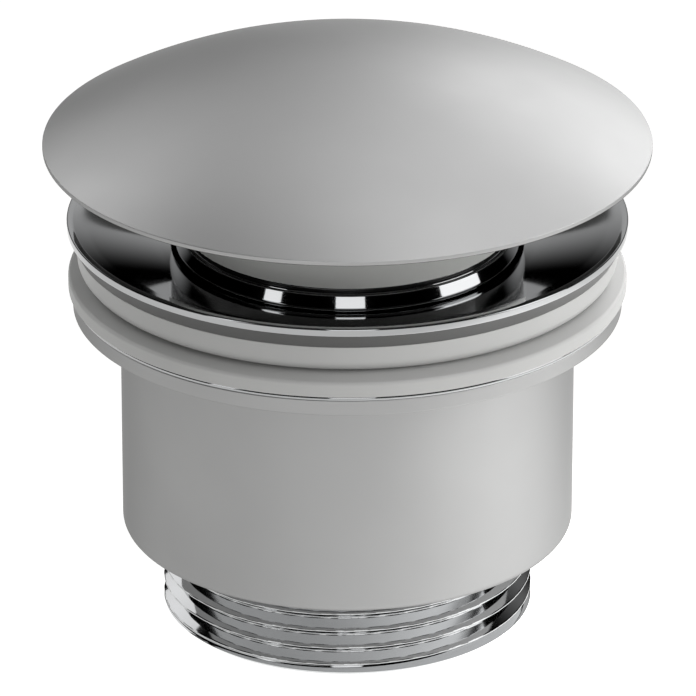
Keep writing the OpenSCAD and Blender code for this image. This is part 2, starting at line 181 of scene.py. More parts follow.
def add_node(
    tree: bpy.types.NodeTree, kind: str, inputs: dict[Any, Any] | None = None, **settings: Any
) -> bpy.types.Node:
    """Adds a node, sets its properties and fills or links its inputs.

    Args:
        tree: Node tree that takes the node.
        kind: Blender's name of the node.
        inputs: Socket name or number to a value, or to the output socket that feeds it.
        **settings: Properties of the node.

    Returns:
        The new node.
    """
    node = tree.nodes.new(kind)
    for name, value in settings.items():
        setattr(node, name, value)
    for name, value in (inputs or {}).items():
        if isinstance(value, bpy.types.NodeSocket):
            tree.links.new(value, node.inputs[name])
        else:
            node.inputs[name].default_value = value
    return node


@dataclass(frozen=True)
class Finish:
    """A surface finish with two close tones, a span of roughness and a fine grain.

    Attributes:
        name: Material and process, as the material is called.
        slot: Record slot that the finish stands for.
        tone: Main colour as sRGB hex.
        drift: Second colour that the main one drifts towards.
        metal: One for a metal, zero for the rest.
        rough: Lowest and highest roughness.
        cloud_mm: Size of the slow change in colour and roughness.
        grain_mm: Size of the fine grain in the surface.
        grain: Strength of the grain's bump.
        grain_depth_mm: Depth of the grain's bump.
        edge: Colour at a glancing angle, which a blasted or dull metal keeps low.
        turned: True where lathe rings are left in the surface.
    """

    name: str
    slot: Slot | Inside
    tone: str
    drift: str
    metal: float = 0.0
    rough: tuple[float, float] = (0.4, 0.5)
    cloud_mm: float = 12.0
    grain_mm: float = 0.25
    grain: float = 0.1
    grain_depth_mm: float = 0.02
    edge: str = "#FFFFFF"
    turned: bool = False

    def build(self) -> bpy.types.Material:
        """Makes the node material.

        Returns:
            The material, named for its finish.
        """
        material = bpy.data.materials.new(self.name)
        tree = empty_tree(material)
        place = add_node(tree, "ShaderNodeTexCoord").outputs["Object"]
        cloud = add_node(
            tree,
            "ShaderNodeTexNoise",
            {"Vector": place, "Scale": per_metre(self.cloud_mm), "Detail": CLOUD_DETAIL},
        ).outputs["Fac"]
        colour = add_node(
            tree,
            "ShaderNodeMix",
            {0: cloud, 6: linear(self.tone), 7: linear(self.drift)},
            data_type="RGBA",
        )
        rough = add_node(
            tree,
            "ShaderNodeMapRange",
            {
                "Value": cloud,
                "From Min": CLOUD_SPAN[0],
                "From Max": CLOUD_SPAN[1],
                "To Min": self.rough[0],
                "To Max": self.rough[1],
            },
        )
        fine = per_metre(self.grain_mm)
        height = add_node(
            tree,
            "ShaderNodeTexNoise",
            {"Vector": place, "Scale": fine, "Detail": GRAIN_DETAIL, "Roughness": GRAIN_ROUGH},
        ).outputs["Fac"]
        if self.turned:
            rings = add_node(
                tree,
                "ShaderNodeTexWave",
                {
                    "Vector": place,
                    "Scale": fine * RING_PART,
                    "Distortion": RING_WAVER,
                    "Detail": RING_DETAIL,
                },
                wave_type="BANDS",
                bands_direction="Z",
            )
            parts = {0: height, 1: rings.outputs["Fac"]}
            height = add_node(tree, "ShaderNodeMath", parts, operation="ADD").outputs[0]
        bump = add_node(
            tree,
            "ShaderNodeBump",
            {"Height": height, "Strength": self.grain, "Distance": self.grain_depth_mm * MM},
        )
        shader = add_node(
            tree,
            "ShaderNodeBsdfPrincipled",
            {
                "Base Color": colour.outputs[2],
                "Metallic": self.metal,
                "Roughness": rough.outputs["Result"],
                "Normal": bump.outputs["Normal"],
                "Specular Tint": linear(self.edge),
            },
        )
        add_node(tree, "ShaderNodeOutputMaterial", {"Surface": shader.outputs["BSDF"]})
        return material


# Real grain is 0.02 to 0.1 mm wide, finer than a pixel, so each is drawn 0.2 to 0.6 mm wide to show.
FINISHES: tuple[Finish, ...] = (
    # Nickel plated and bead blasted brass: soft wide highlights, plain grey, an even fine grain.
    Finish(
        "satin_nickel_blasted",
        Slot.SATIN_NICKEL,
        tone="#A0A0A0",
        drift="#9C9C9C",
        metal=1.0,
        rough=(0.46, 0.52),
        cloud_mm=18.0,
        grain_mm=0.3,
        grain=0.05,
        grain_depth_mm=0.004,
        edge="#B2B2B2",
    ),
    # Bright chrome plate on polished brass: mirror sharp, faintly blue, a trace of wiping haze.
    Finish(
        "bright_chrome_plate",
        Slot.POLISHED_CHROME,
        tone="#AAABAC",
        drift="#A6A7A8",
        metal=1.0,
        rough=(0.04, 0.06),
        cloud_mm=9.0,
        grain_mm=0.6,
        grain=0.02,
        grain_depth_mm=0.002,
    ),
    # Moulded ABS boss: flat grey with a fine sparked mould texture.
    Finish(
        "moulded_grey_abs",
        Slot.GREY_MOULDING,
        tone="#D6D7D4",
        drift="#D0D1CE",
        rough=(0.42, 0.5),
        cloud_mm=14.0,
        grain=0.12,
    ),
    # Moulded black nitrile: deep black, slightly glossy on its rounded edge.
    Finish(
        "black_nitrile",
        Slot.BLACK_RUBBER,
        tone="#0E0E0E",
        drift="#141414",
        rough=(0.22, 0.3),
        cloud_mm=10.0,
        grain=0.06,
        grain_depth_mm=0.01,
    ),
    # Moulded dark EPDM: matt dark grey with a light bloom.
    Finish(
        "dark_epdm",
        Slot.DARK_RUBBER,
        tone="#404040",
        drift="#484847",
        rough=(0.5, 0.62),
        cloud_mm=7.0,
        grain_mm=0.2,
        grain=0.15,
    ),
    # Light grey thermoplastic elastomer: soft sheen, even tone.
    Finish(
        "light_grey_elastomer",
        Slot.LIGHT_RUBBER,
        tone="#A0A09F",
        drift="#9A9A99",
        rough=(0.45, 0.55),
        cloud_mm=11.0,
        grain_mm=0.22,
    ),
    # Grey silicone gasket: matt, faint mould grain.
    Finish(
        "grey_silicone",
        Slot.GREY_RUBBER,
        tone="#A2A2A1",
        drift="#9D9D9C",
        rough=(0.5, 0.6),
        cloud_mm=13.0,
        grain=0.12,
    ),
    # Turned brass: yellow metal with fine lathe rings.
    Finish(
        "turned_brass_bar",
        Slot.TURNED_BRASS,
        tone="#C6A35A",
        drift="#B8944C",
        metal=1.0,
        rough=(0.22, 0.34),
        cloud_mm=8.0,
        grain_mm=0.2,
        grain=0.2,
        grain_depth_mm=0.01,
        turned=True,
    ),
    # Sand cast brass: duller, pitted and uneven.
    Finish(
        "cast_brass_skin",
        Slot.CAST_BRASS,
        tone="#B0925A",
        drift="#9A7D48",
        metal=1.0,
        rough=(0.4, 0.55),
        cloud_mm=6.0,
        grain_mm=0.5,
        grain=0.5,
        grain_depth_mm=0.05,
    ),
    # White acetal: waxy and slightly glossy.
    Finish(
        "white_acetal_moulding",
        Slot.WHITE_ACETAL,
        tone="#E6E3DA",
        drift="#DEDBD1",
        rough=(0.3, 0.4),
        grain_mm=0.3,
        grain=0.06,
        grain_depth_mm=0.01,
    ),
    # Dark acetal: waxy, near black.
    Finish(
        "dark_acetal_moulding",
        Slot.DARK_ACETAL,
        tone="#2C2D2F",
        drift="#343537",
        rough=(0.32, 0.42),
        grain_mm=0.3,
        grain=0.06,
        grain_depth_mm=0.01,
    ),
    # Painted shade under the cap: a dull, dark and slightly pitted metal finish that stands for the shade
    # there.
    Finish(
        "cap_underside_painted_shade",
        Inside.RAW_CASTING,
        tone="#4A4A49",
        drift="#424241",
        metal=1.0,
        rough=(0.55, 0.68),
        cloud_mm=5.0,
        grain_mm=0.4,
        grain=0.3,
        grain_depth_mm=0.03,
    ),
    # Chrome over a cut thread, drawn paler than the polished faces as a painted sheen for the light that
    # the flanks mirror onto each other.
    Finish(
        "chrome_thread_painted_sheen",
        Inside.CUT_THREAD,
        tone="#B9BABB",
        drift="#B6B7B8",
        metal=1.0,
        rough=(0.05, 0.08),
        cloud_mm=9.0,
        grain_mm=0.3,
        grain=0.02,
        grain_depth_mm=0.002,
    ),
    # Drawn spring wire: bright grey with draw marks.
    Finish(
        "drawn_spring_wire",
        Slot.SPRING_STEEL,
        tone="#A6A7A9",
        drift="#97989B",
        metal=1.0,
        rough=(0.25, 0.36),
        cloud_mm=4.0,
        grain_mm=0.2,
        grain=0.15,
        grain_depth_mm=0.01,
    ),
)


class FinishRack:
    """Builds each finish once and hands it out by slot."""

    def __init__(self, finishes: Sequence[Finish]) -> None:
        """Builds the materials of all finishes."""
        self._materials = {finish.slot: finish.build() for finish in finishes}
        self._lit: dict[Falls, list[bpy.types.Object]] = {falls: [] for falls in Falls}

    def pieces(self, falls: Falls) -> list[bpy.types.Object]:
        """Gives the dressed pieces that a light falls on."""
        return self._lit[falls]

    def line(
        self, piece: bpy.types.Object, slot: Inside, test: Callable[[bpy.types.MeshPolygon], bool]
    ) -> None:
        """Puts a second finish, painted shade or painted sheen, on some faces of a dressed piece.

        Args:
            piece: Mesh object that already has its main finish.
            slot: Finish to put on.
            test: Takes a face and says if it gets the second finish.
        """
        piece.data.materials.append(self._materials[slot])
        if slot is Inside.CUT_THREAD:
            self._lit[Falls.THREAD].append(piece)
        for face in piece.data.polygons:
            if test(face):
                face.material_index = len(piece.data.materials) - 1

    def dress(self, piece: bpy.types.Object, slot: Slot) -> None:
        """Puts one finish on all of a piece.

        Args:
            piece: Mesh object, new or from the frame.
            slot: Finish to put on.
        """
        material = self._materials[slot]
        self._lit[Falls.MIRRORS if slot is Slot.POLISHED_CHROME else Falls.MATT].append(piece)
        if not piece.data.materials:
            piece.data.materials.append(material)
        for index in range(len(piece.data.materials)):
            piece.data.materials[index] = material


@dataclass(frozen=True)
class Corner:
    """A corner of a turned profile.

    Attributes:
        r: Distance from the axis.
        z: Height.
        round: Length of edge that the rounding takes, zero for a sharp corner.
        steps: Pieces that the rounding is drawn in.
    """

    r: float
    z: float
    round: float = 0.0
    steps: int = 6

    def place(self) -> Vector:
        """Gives the corner's place in metres, in the XZ plane."""
        return Vector((self.r * MM, 0.0, self.z * MM))


def start_mesh(name: str) -> bpy.types.Object:
    """Adds a small plane at the origin, gathers it to one point and leaves it in edit mode.

    Args:
        name: Name of the piece.

    Returns:
        The new object, in edit mode with its only vertex selected.
    """
    bpy.ops.object.select_all(action="DESELECT")
    bpy.ops.mesh.primitive_plane_add(size=MM, location=(0.0, 0.0, 0.0))
    piece = bpy.context.object
    piece.name = name
    piece.data.name = name
    bpy.ops.object.mode_set(mode="EDIT")
    bpy.ops.mesh.select_all(action="SELECT")
    bpy.ops.mesh.merge(type="CENTER")
    return piece


def select_where(piece: bpy.types.Object, test: Callable[[Vector], bool]) -> None:
    """Selects the vertices that pass a test, and no others.

    Args:
        piece: Object in edit mode.
        test: Takes a vertex's place in metres.
    """
    bpy.ops.mesh.select_mode(type="VERT")
    bpy.ops.mesh.select_all(action="DESELECT")
    mesh = bmesh.from_edit_mesh(piece.data)
    for vertex in mesh.verts:
        vertex.select = test(vertex.co)
    mesh.select_flush(True)
    bmesh.update_edit_mesh(piece.data)


def draw_profile(piece: bpy.types.Object, corners: Sequence[Corner], closed: bool) -> None:
    """Extrudes the only vertex along a profile and rounds its corners.

    Args:
        piece: Object in edit mode with one vertex at the origin.
        corners: Profile, in order.
        closed: True where the last corner joins the first.
    """
    bpy.ops.transform.translate(value=corners[0].place())
    for before, after in zip(corners, corners[1:]):
        bpy.ops.mesh.extrude_region_move(TRANSFORM_OT_translate={"value": after.place() - before.place()})
    if closed:
        ends = (corners[0].place(), corners[-1].place())
        select_where(piece, lambda co: min((co - end).length for end in ends) < WELD)
        bpy.ops.mesh.edge_face_add()
    for corner in corners:
        if corner.round > 0.0:
            place = corner.place()
            select_where(piece, lambda co: (co - place).length < WELD)
            bpy.ops.mesh.bevel(
                offset_type="OFFSET",
                offset=corner.round * MM,
                segments=corner.steps,
                profile=0.5,
                affect="VERTICES",
                clamp_overlap=True,
            )


def turn(
    name: str, corners: Sequence[Corner], closed: bool = True, steps: int = TURN_STEPS
) -> bpy.types.Object:
    """Turns a profile about the axis into a closed piece.

    Args:
        name: Name of the piece.
        corners: Profile, in order.
        closed: False where the profile starts and ends on the axis.
        steps: Faces round the axis.

    Returns:
        The finished object, in object mode.
    """
    piece = start_mesh(name)
    draw_profile(piece, corners, closed)
    bpy.ops.mesh.select_all(action="SELECT")
    bpy.ops.mesh.spin(steps=steps, angle=math.tau, center=(0.0, 0.0, 0.0), axis=(0.0, 0.0, 1.0))
    close_up()
    even_normals(piece)
    return piece


def even_normals(piece: bpy.types.Object) -> None:
    """Lets large flat faces keep their own normals beside small roundings.

    Args:
        piece: The active object, in object mode.
    """
    even = piece.modifiers.new("even_normals", "WEIGHTED_NORMAL")
    even.mode = "FACE_AREA"
    even.keep_sharp = True
    bpy.ops.object.modifier_apply(modifier=even.name)


def close_up(angle_deg: float = SHADE_DEG) -> None:
    """Merges doubles, points the faces outwards, leaves edit mode and shades by angle.

    Args:
        angle_deg: Sharpest angle that is shaded smooth.
    """
    bpy.ops.mesh.select_all(action="SELECT")
    bpy.ops.mesh.remove_doubles(threshold=WELD)
    bpy.ops.mesh.normals_make_consistent(inside=False)
    bpy.ops.object.mode_set(mode="OBJECT")
    bpy.ops.object.shade_smooth_by_angle(angle=math.radians(angle_deg))


class Assembly:
    """A group of pieces that are built together, with what dressing them needs."""

    def __init__(self, rack: FinishRack, nodes: dict[str, bpy.types.Object]) -> None:
        """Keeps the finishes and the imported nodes."""
        self.rack = rack
        self.nodes = nodes

    def fit(self, piece: bpy.types.Object, body: Body, node: str, slot: Slot) -> None:
        """Puts a new piece in a node's stead.

        Args:
            piece: New mesh, in place.
            body: Body that it moves with.
            node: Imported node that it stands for.
            slot: Finish that it gets.
        """
        self.rack.dress(piece, slot)
        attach(piece, body.value)
        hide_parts(node)
        log.info("made %s: %d faces", piece.name, len(piece.data.polygons))

    def keep(self, node: str, slot: Slot) -> None:
        """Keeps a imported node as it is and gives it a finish."""
        self.rack.dress(self.nodes[node], slot)
        log.info("kept %s", node)


@dataclass
class PlugSizes:
    """Sizes of the plug, from the cap down to the cup."""

    cap_r: float = 34.0
    cap_edge_z: float = 55.8
    cap_edge_h: float = 0.55
    dome_rise: float = 9.35
    cap_t: float = 1.3
    ring_r: float = 18.35
    ring_w: float = 1.4
    ring_z: float = 59.4
    gasket_r: float = 18.1
    gasket_in_r: float = 15.3
    cup_z: float = 45.55
    gasket_t: float = 0.7
    cup_r: float = 19.3
    cup_wall: float = 2.0
    cup_h: float = 10.2
    cup_top_t: float = 1.8
    chamfer: float = 0.6
    chamfer_h: float = 1.25
    bore_r: float = 4.05
    lip_r: float = 18.34
    lip_w: float = 0.2
    lip_h: float = 0.1
    cap_top_edge: float = 0.06
    cap_low_edge: float = 0.14
    gasket_low_edge: float = 0.2
    gasket_top_edge: float = 0.3
    roof_round: float = 0.6
    foot_in_edge: float = 0.2
    foot_out_edge: float = 0.25
    chamfer_low_edge: float = 0.12
    chamfer_top_edge: float = 0.1
    lip_foot_edge: float = 0.03
    lip_top_edge: float = 0.04

    @property
    def dome_r(self) -> float:
        """Radius of the dome's sphere."""
        return (self.cap_r**2 + self.dome_rise**2) / (2 * self.dome_rise)

    @property
    def dome_z(self) -> float:
        """Height of the centre of the dome's sphere."""
        return self.cap_edge_z + self.cap_edge_h + self.dome_rise - self.dome_r

    def dome(self, r: float, depth: float = 0.0) -> float:
        """Gives the dome's height.

        Args:
            r: Distance from the axis.
            depth: Distance under the outer face.

        Returns:
            Height in millimetres.
        """
        return self.dome_z + math.sqrt((self.dome_r - depth) ** 2 - r * r)


class Plug(Assembly):
    """Cap, boss, gasket and cup, which slide together."""

    sizes = PlugSizes()
    dome_steps = 30
    # A face whose normal points further down than this gets the painted shade.
    painted_shade_normal_z = -0.3

    def build(self) -> None:
        """Builds and dresses the plug."""
        self.build_cap()
        self.build_gasket()
        self.build_cup()
        self.keep("plug_boss", Slot.GREY_MOULDING)
        self.keep("lip_seal", Slot.BLACK_RUBBER)
        self.keep("seal_retainer", Slot.DARK_ACETAL)
        self.keep("push_stem", Slot.TURNED_BRASS)
        self.keep("stem_nut", Slot.TURNED_BRASS)
        self.keep("stem_washer", Slot.BLACK_RUBBER)

    def build_cap(self) -> None:
        """Turns the domed cap with its thin edge and the ring that grips the boss, and paints shade on
        its underside.
        """
        s = self.sizes
        steps = self.dome_steps
        land_r = math.sqrt((s.dome_r - s.cap_t) ** 2 - (s.cap_edge_z - s.dome_z) ** 2)
        ring_out = s.ring_r + s.ring_w
        top = [Corner(s.cap_r * i / steps, s.dome(s.cap_r * i / steps)) for i in range(steps)]
        edge = [
            Corner(s.cap_r, s.dome(s.cap_r), s.cap_top_edge),
            Corner(s.cap_r, s.cap_edge_z, s.cap_low_edge),
        ]
        outer = [land_r + (ring_out - land_r) * i / steps for i in range(steps + 1)]
        inner = [s.ring_r * (1 - i / steps) for i in range(steps + 1)]
        under = [Corner(r, s.dome(r, s.cap_t)) for r in outer]
        ring = [Corner(ring_out, s.ring_z), Corner(s.ring_r, s.ring_z)]
        roof = [Corner(r, s.dome(r, s.cap_t)) for r in inner]
        piece = turn("plug_cap_dome", top + edge + under + ring + roof, closed=False)
        self.fit(piece, Body.PLUG, "plug_cap", Slot.SATIN_NICKEL)
        # The cap's downward faces get the painted shade of the underside.
        self.rack.line(piece, Inside.RAW_CASTING, lambda face: face.normal.z < self.painted_shade_normal_z)

    def build_gasket(self) -> None:
        """Turns the black gasket that shows as a strip over the cup."""
        s = self.sizes
        top = s.cup_z + s.gasket_t
        corners = [
            Corner(s.gasket_in_r, s.cup_z),
            Corner(s.gasket_r, s.cup_z, s.gasket_low_edge),
            Corner(s.gasket_r, top, s.gasket_top_edge),
            Corner(s.gasket_in_r, top),
        ]
        self.fit(turn("boss_gasket_ring", corners), Body.PLUG, "boss_gasket", Slot.BLACK_RUBBER)

    def build_cup(self) -> None:
        """Turns the polished cup with its chamfered top and the low lip round the gasket."""
        s = self.sizes
        under, foot, inner = s.cup_z - s.cup_top_t, s.cup_z - s.cup_h, s.cup_r - s.cup_wall
        corners = [
            Corner(s.bore_r, under),
            Corner(inner, under, s.roof_round),
            Corner(inner, foot, s.foot_in_edge),
            Corner(s.cup_r, foot, s.foot_out_edge),
            Corner(s.cup_r, s.cup_z - s.chamfer_h, s.chamfer_low_edge),
            Corner(s.cup_r - s.chamfer, s.cup_z, s.chamfer_top_edge),
            Corner(s.lip_r, s.cup_z, s.lip_foot_edge),
            Corner(s.lip_r - s.lip_h / 2, s.cup_z + s.lip_h, s.lip_top_edge),
            Corner(s.lip_r - s.lip_w, s.cup_z + s.lip_h, s.lip_top_edge),
            Corner(s.lip_r - s.lip_w, s.cup_z),
            Corner(s.bore_r, s.cup_z),
        ]
        self.fit(turn("plug_cup_shell", corners), Body.PLUG, "plug_cup", Slot.POLISHED_CHROME)


@dataclass
class FlangeSizes:
    """Sizes of the flange, its dish, its throat and its shank."""

    rim_r: float = 31.45
    rim_z: float = 46.35
    rim_t: float = 0.9
    rim_edge: float = 0.2
    rim_low_edge: float = 0.12
    land: float = 0.6
    dish_deg: float = 16.0
    fall_deg: float = 18.0
    bend_r: float = 25.0
    bend_round: float = 4.5
    bend_steps: int = 16
    lip_r: float = 19.7
    lip_h: float = 1.0
    lip_edge: float = 0.15
    lip_low_edge: float = 0.1
    lip_under: float = 2.5
    under_deg: float = 38.0
    under_wall: float = 0.8
    throat_r: float = 21.4
    throat_round: float = 0.4
    seat_r: float = 19.25
    seat_z: float = 26.65
    seat_cone_h: float = 2.0
    shank_r: float = 22.6
    shank_z: float = 21.15
    shank_top_round: float = 0.4
    shank_out_edge: float = 0.3
    shank_in_edge: float = 0.2

    @property
    def top_z(self) -> float:
        """Height of the rim's top."""
        return self.rim_z + self.rim_t

    @property
    def dish_r(self) -> float:
        """Radius of the rim's inner edge, where the dish begins."""
        return self.rim_r - self.land

    @property
    def bend_z(self) -> float:
        """Height of the dish where it starts to fall faster."""
        return self.top_z - (self.dish_r - self.bend_r) * math.tan(math.radians(self.dish_deg))

    @property
    def lip_z(self) -> float:
        """Height of the dish at the lip round the cup."""
        return self.bend_z - (self.bend_r - self.lip_r) * math.tan(math.radians(self.fall_deg))

    @property
    def under_slope(self) -> float:
        """Rise of the flange's underside for each millimetre outwards."""
        return math.tan(math.radians(self.under_deg))

    @property
    def under_top(self) -> float:
        """Height of the underside beneath the rim's inner edge."""
        return self.top_z - self.under_wall / math.cos(math.radians(self.under_deg))

    def under_r(self, z: float) -> float:
        """Gives the radius of the underside at a height."""
        return self.dish_r - (self.under_top - z) / self.under_slope

    def under_z(self, r: float) -> float:
        """Gives the height of the underside at a radius."""
        return self.under_top - (self.dish_r - r) * self.under_slope


@dataclass
class SealSizes:
    """Sizes of the rings between the flange and the body."""

    slip_z: float = 38.45
    slip_t: float = 0.6
    slip_r: float = 30.95
    gasket_r: float = 31.35
    gasket_h: float = 2.4
    gasket_side: float = 1.7
    gasket_top_r: float = 28.7
    ring_in_r: float = 23.0
    seat_r: float = 30.45
    seat_h: float = 3.2
    seat_draft: float = 0.25
    seat_edge: float = 1.5
    seat_edge_steps: int = 14
    seat_top_edge: float = 0.08
    seal_low_edge: float = 0.08
    seal_top_edge: float = 0.05
    gasket_low_edge: float = 0.2
    gasket_side_edge: float = 0.35
    gasket_top_edge: float = 0.3
    slip_low_edge: float = 0.2
    slip_top_edge: float = 0.38
    rim_seal_r: float = 31.33
    seat_gap: float = 0.05


class Flange(Assembly):
    """Flange, its seals and the rings clamped under it."""

    sizes = FlangeSizes()
    seals = SealSizes()

    def build(self) -> None:
        """Builds and dresses the flange and its rings."""
        self.build_flange()
        self.build_rim_seal()
        self.build_seat_ring()
        self.build_gasket()
        self.build_slip_ring()

    def build_flange(self) -> None:
        """Turns the flange with its rim, dish, throat, closing seat and shank."""
        s = self.sizes
        corners = [
            Corner(s.seat_r, s.shank_z, s.shank_in_edge),
            Corner(s.shank_r, s.shank_z, s.shank_out_edge),
            Corner(s.shank_r, s.under_z(s.shank_r), s.shank_top_round),
            Corner(s.under_r(s.rim_z), s.rim_z),
            Corner(s.rim_r, s.rim_z, s.rim_low_edge),
            Corner(s.rim_r, s.top_z, s.rim_edge),
            Corner(s.dish_r, s.top_z, s.rim_edge),
            Corner(s.bend_r, s.bend_z, s.bend_round, s.bend_steps),
            Corner(s.lip_r, s.lip_z, s.lip_edge),
            Corner(s.lip_r, s.lip_z - s.lip_h, s.lip_low_edge),
            Corner(s.throat_r, s.lip_z - s.lip_under, s.throat_round),
            Corner(s.throat_r, s.seat_z + s.seat_cone_h, s.throat_round),
            Corner(s.seat_r, s.seat_z, s.throat_round),
        ]
        self.fit(turn("flange_dish", corners), Body.WASTE, "waste_flange", Slot.POLISHED_CHROME)

    def build_rim_seal(self) -> None:
        """Turns the dark wedge seal under the rim."""
        s, f = self.seals, self.sizes
        low = s.slip_z + s.slip_t + s.gasket_h + s.seat_h
        corners = [
            Corner(f.under_r(low) + s.seat_gap, low),
            Corner(s.seat_r, low, s.seal_low_edge),
            Corner(s.rim_seal_r, f.rim_z, s.seal_top_edge),
            Corner(f.under_r(f.rim_z) + s.seat_gap, f.rim_z),
        ]
        self.fit(turn("rim_seal_wedge", corners), Body.WASTE, "rim_seal", Slot.DARK_RUBBER)

    def build_seat_ring(self) -> None:
        """Turns the light ring with its wide round foot."""
        s, f = self.seals, self.sizes
        low = s.slip_z + s.slip_t + s.gasket_h
        top = low + s.seat_h
        side = s.seat_r - s.seat_draft
        corners = [
            Corner(f.under_r(low) + s.seat_gap, low),
            Corner(side, low, s.seat_edge, s.seat_edge_steps),
            Corner(s.seat_r, top, s.seat_top_edge),
            Corner(f.under_r(top) + s.seat_gap, top),
        ]
        self.fit(turn("seat_ring_profile", corners), Body.WASTE, "seat_ring", Slot.LIGHT_RUBBER)

    def build_gasket(self) -> None:
        """Turns the basin gasket with its bevelled top."""
        s, f = self.seals, self.sizes
        low = s.slip_z + s.slip_t
        top = low + s.gasket_h
        cone = top - (f.under_r(top) + s.seat_gap - s.ring_in_r) * f.under_slope
        corners = [
            Corner(s.ring_in_r, low),
            Corner(s.gasket_r, low, s.gasket_low_edge),
            Corner(s.gasket_r, low + s.gasket_side, s.gasket_side_edge),
            Corner(s.gasket_top_r, top, s.gasket_top_edge),
            Corner(f.under_r(top) + s.seat_gap, top),
            Corner(s.ring_in_r, cone),
        ]
        self.fit(turn("basin_gasket_ring", corners), Body.WASTE, "basin_gasket", Slot.GREY_RUBBER)

    def build_slip_ring(self) -> None:
        """Turns the polished slip ring with its rounded edge."""
        s = self.seals
        top = s.slip_z + s.slip_t
        corners = [
            Corner(s.ring_in_r, s.slip_z),
            Corner(s.slip_r, s.slip_z, s.slip_low_edge),
            Corner(s.slip_r, top, s.slip_top_edge),
            Corner(s.ring_in_r, top),
        ]
        self.fit(turn("slip_ring_polished", corners), Body.WASTE, "slip_ring", Slot.POLISHED_CHROME)


@dataclass
class OutletSizes:
    """Sizes of the lower body and the threaded tail."""

    body_r: float = 25.55
    body_z: float = 10.15
    body_edge: float = 0.8
    collar_r: float = 30.85
    collar_z: float = 36.65
    collar_top_z: float = 38.45
    chamber_r: float = 23.95
    neck_r: float = 22.65
    neck_z: float = 27.45
    floor_z: float = 12.65
    floor_hole_r: float = 21.005
    tail_r: float = 20.955
    tail_bore_r: float = 17.5
    tail_chamfer: float = 0.45
    head_r: float = 23.2
    head_z: float = 13.65
    head_top_z: float = 16.15
    pitch: float = 2.09
    thread_start: float = 0.925
    thread_depth: float = 1.3
    thread_root: float = 0.05
    thread_crest: float = 0.06
    thread_run_in: float = 0.4
    thread_row: float = 0.05
    thread_wall: float = 1.0
    thread_shade_deg: float = 40.0
    tail_steps: int = 240
    tail_edge: float = 0.3
    head_edge: float = 0.3
    head_low_edge: float = 0.2
    hole_edge: float = 0.1
    collar_root: float = 0.15
    collar_low_edge: float = 0.2
    collar_top_edge: float = 0.12
    inner_edge: float = 0.3
    chamber_round: float = 0.4


class Outlet(Assembly):
    """Lower body and threaded tail."""

    sizes = OutletSizes()

    def build(self) -> None:
        """Builds and dresses the body and the tail."""
        self.build_body()
        self.build_tail()
        self.keep("tail_seal", Slot.BLACK_RUBBER)
        self.keep("shank_washer", Slot.BLACK_RUBBER)
        self.keep("spider", Slot.CAST_BRASS)

    def build_body(self) -> None:
        """Turns the body with its floor, chamber, neck and collar."""
        s = self.sizes
        corners = [
            Corner(s.floor_hole_r, s.body_z, s.hole_edge),
            Corner(s.body_r, s.body_z, s.body_edge),
            Corner(s.body_r, s.collar_z, s.collar_root),
            Corner(s.collar_r, s.collar_z, s.collar_low_edge),
            Corner(s.collar_r, s.collar_top_z, s.collar_top_edge),
            Corner(s.neck_r, s.collar_top_z, s.inner_edge),
            Corner(s.neck_r, s.neck_z, s.inner_edge),
            Corner(s.chamber_r, s.neck_z, s.inner_edge),
            Corner(s.chamber_r, s.floor_z, s.chamber_round),
            Corner(s.floor_hole_r, s.floor_z),
        ]
        self.fit(turn("lower_body_shell", corners), Body.WASTE, "lower_body", Slot.SATIN_NICKEL)

    def build_tail(self) -> None:
        """Turns the tail with close rows on its outside and cuts the thread into them."""
        s = self.sizes
        height = s.head_z - s.tail_chamfer
        rows = int(height / s.thread_row)
        side = [Corner(s.tail_r, s.tail_chamfer + height * i / rows) for i in range(rows + 1)]
        corners = [
            Corner(s.tail_bore_r, 0.0, s.tail_edge),
            Corner(s.tail_r - s.tail_chamfer, 0.0),
            *side,
            Corner(s.head_r, s.head_z, s.head_low_edge),
            Corner(s.head_r, s.head_top_z, s.head_edge),
            Corner(s.tail_bore_r, s.head_top_z, s.tail_edge),
        ]
        piece = turn("outlet_tail_threaded", corners, steps=s.tail_steps)
        self.cut_thread(piece)
        self.fit(piece, Body.WASTE, "threaded_tail", Slot.POLISHED_CHROME)
        inside = (s.tail_bore_r + s.thread_wall) * MM
        # The thread's faces get the paler chrome, a painted sheen.
        self.rack.line(piece, Inside.CUT_THREAD, lambda face: face.center.xy.length > inside)

    def cut_thread(self, piece: bpy.types.Object) -> None:
        """Sinks the close rows of the tail to a right handed thread with straight flanks.

        Args:
            piece: The turned tail.
        """
        s = self.sizes
        for vertex in piece.data.vertices:
            r, z = math.hypot(vertex.co.x, vertex.co.y) / MM, vertex.co.z / MM
            if abs(r - s.tail_r) > NEAR_MM or not s.tail_chamfer - NEAR_MM < z < s.head_z - NEAR_MM:
                continue
            turns = z / s.pitch - math.atan2(vertex.co.y, vertex.co.x) / math.tau - s.thread_start
            off_root = 2.0 * abs(turns % 1.0 - 0.5)
            up_flank = (off_root - s.thread_root) / (1.0 - s.thread_root - s.thread_crest)
            depth = s.thread_depth * (1.0 - min(1.0, max(0.0, up_flank)))
            fade = max(0.0, min(1.0, (s.head_z - z) / s.pitch, (z - s.tail_chamfer) / s.thread_run_in))
            sunk = (r - depth * fade) / r
            vertex.co.x *= sunk
            vertex.co.y *= sunk
        piece.data.update()
        bpy.ops.mesh.customdata_custom_splitnormals_clear()
        bpy.ops.object.shade_smooth_by_angle(angle=math.radians(s.thread_shade_deg))


@dataclass
class SpringSizes:
    """Sizes of the return spring."""

    wire: float = 1.0
    outside: float = 9.6
    turns: int = 6
    travel: float = 8.0
    wire_sides: int = 12
    turn_steps: int = 40
    shade_deg: float = 40.0


